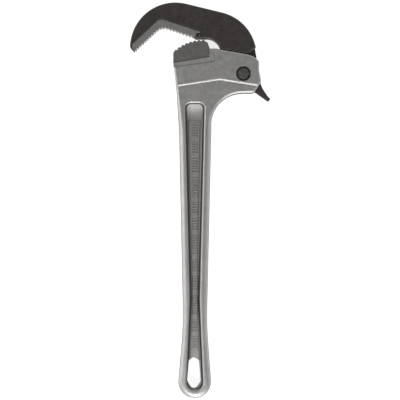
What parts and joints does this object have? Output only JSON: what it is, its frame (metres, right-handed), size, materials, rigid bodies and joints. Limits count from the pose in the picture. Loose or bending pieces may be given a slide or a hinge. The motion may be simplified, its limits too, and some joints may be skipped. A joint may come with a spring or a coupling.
{
  "type": "pipe wrench",
  "caption": "Self-adjusting aluminium pipe wrench with a sprung, pivoting hook jaw, toothed insert and heel jaw, thumb lever and I-beam handle with a hanging eye.",
  "frame": {"origin": "bottom centre of the whole tool as it lies on its side", "axes": "+Z is the wrench's thickness, +Y runs up the handle towards the head, and the jaws bite towards -X"},
  "size_m": [0.1624, 0.4572, 0.0305],
  "materials": {
    "cast_aluminium": "satin cast",
    "jaw_steel": "ground",
    "black_oxide_steel": "black oxide",
    "pin_steel": "dark satin",
    "ring_steel": "black phosphate",
    "spring_steel": "drawn wire"
  },
  "bodies": {
    "handle": {"handle": "cast_aluminium", "heel_jaw": "jaw_steel", "heel_jaw_pin": "spring_steel", "pivot_pin": "pin_steel", "retaining_ring_front": "ring_steel", "retaining_ring_back": "ring_steel", "cheek_bush_front": "pin_steel", "cheek_bush_back": "pin_steel", "return_spring": "spring_steel"},
    "hook": {"hook_jaw": "black_oxide_steel", "hook_jaw_insert": "jaw_steel", "insert_pin": "ring_steel"},
    "plunger": {"spring_plunger": "pin_steel"}
  },
  "joints": [
    {"name": "hook_hinge", "type": "hinge", "parent": "handle", "child": "hook", "pos_m": [0.04998, 0.14634, 0.01525], "axis": [0, 0, -1], "range_deg": [0, 27], "stiffness_Nm_per_rad": 0.5, "springref_deg": -28.65},
    {"name": "plunger_slide", "type": "slide", "parent": "handle", "child": "plunger", "axis": [-1, 0, 0], "range_m": [0, 0.0053], "deforming": ["return_spring"]}
  ],
  "couplings": [
    {"joint": "plunger_slide", "follows": "hook_hinge", "m_per_rad": 0.011}
  ]
}
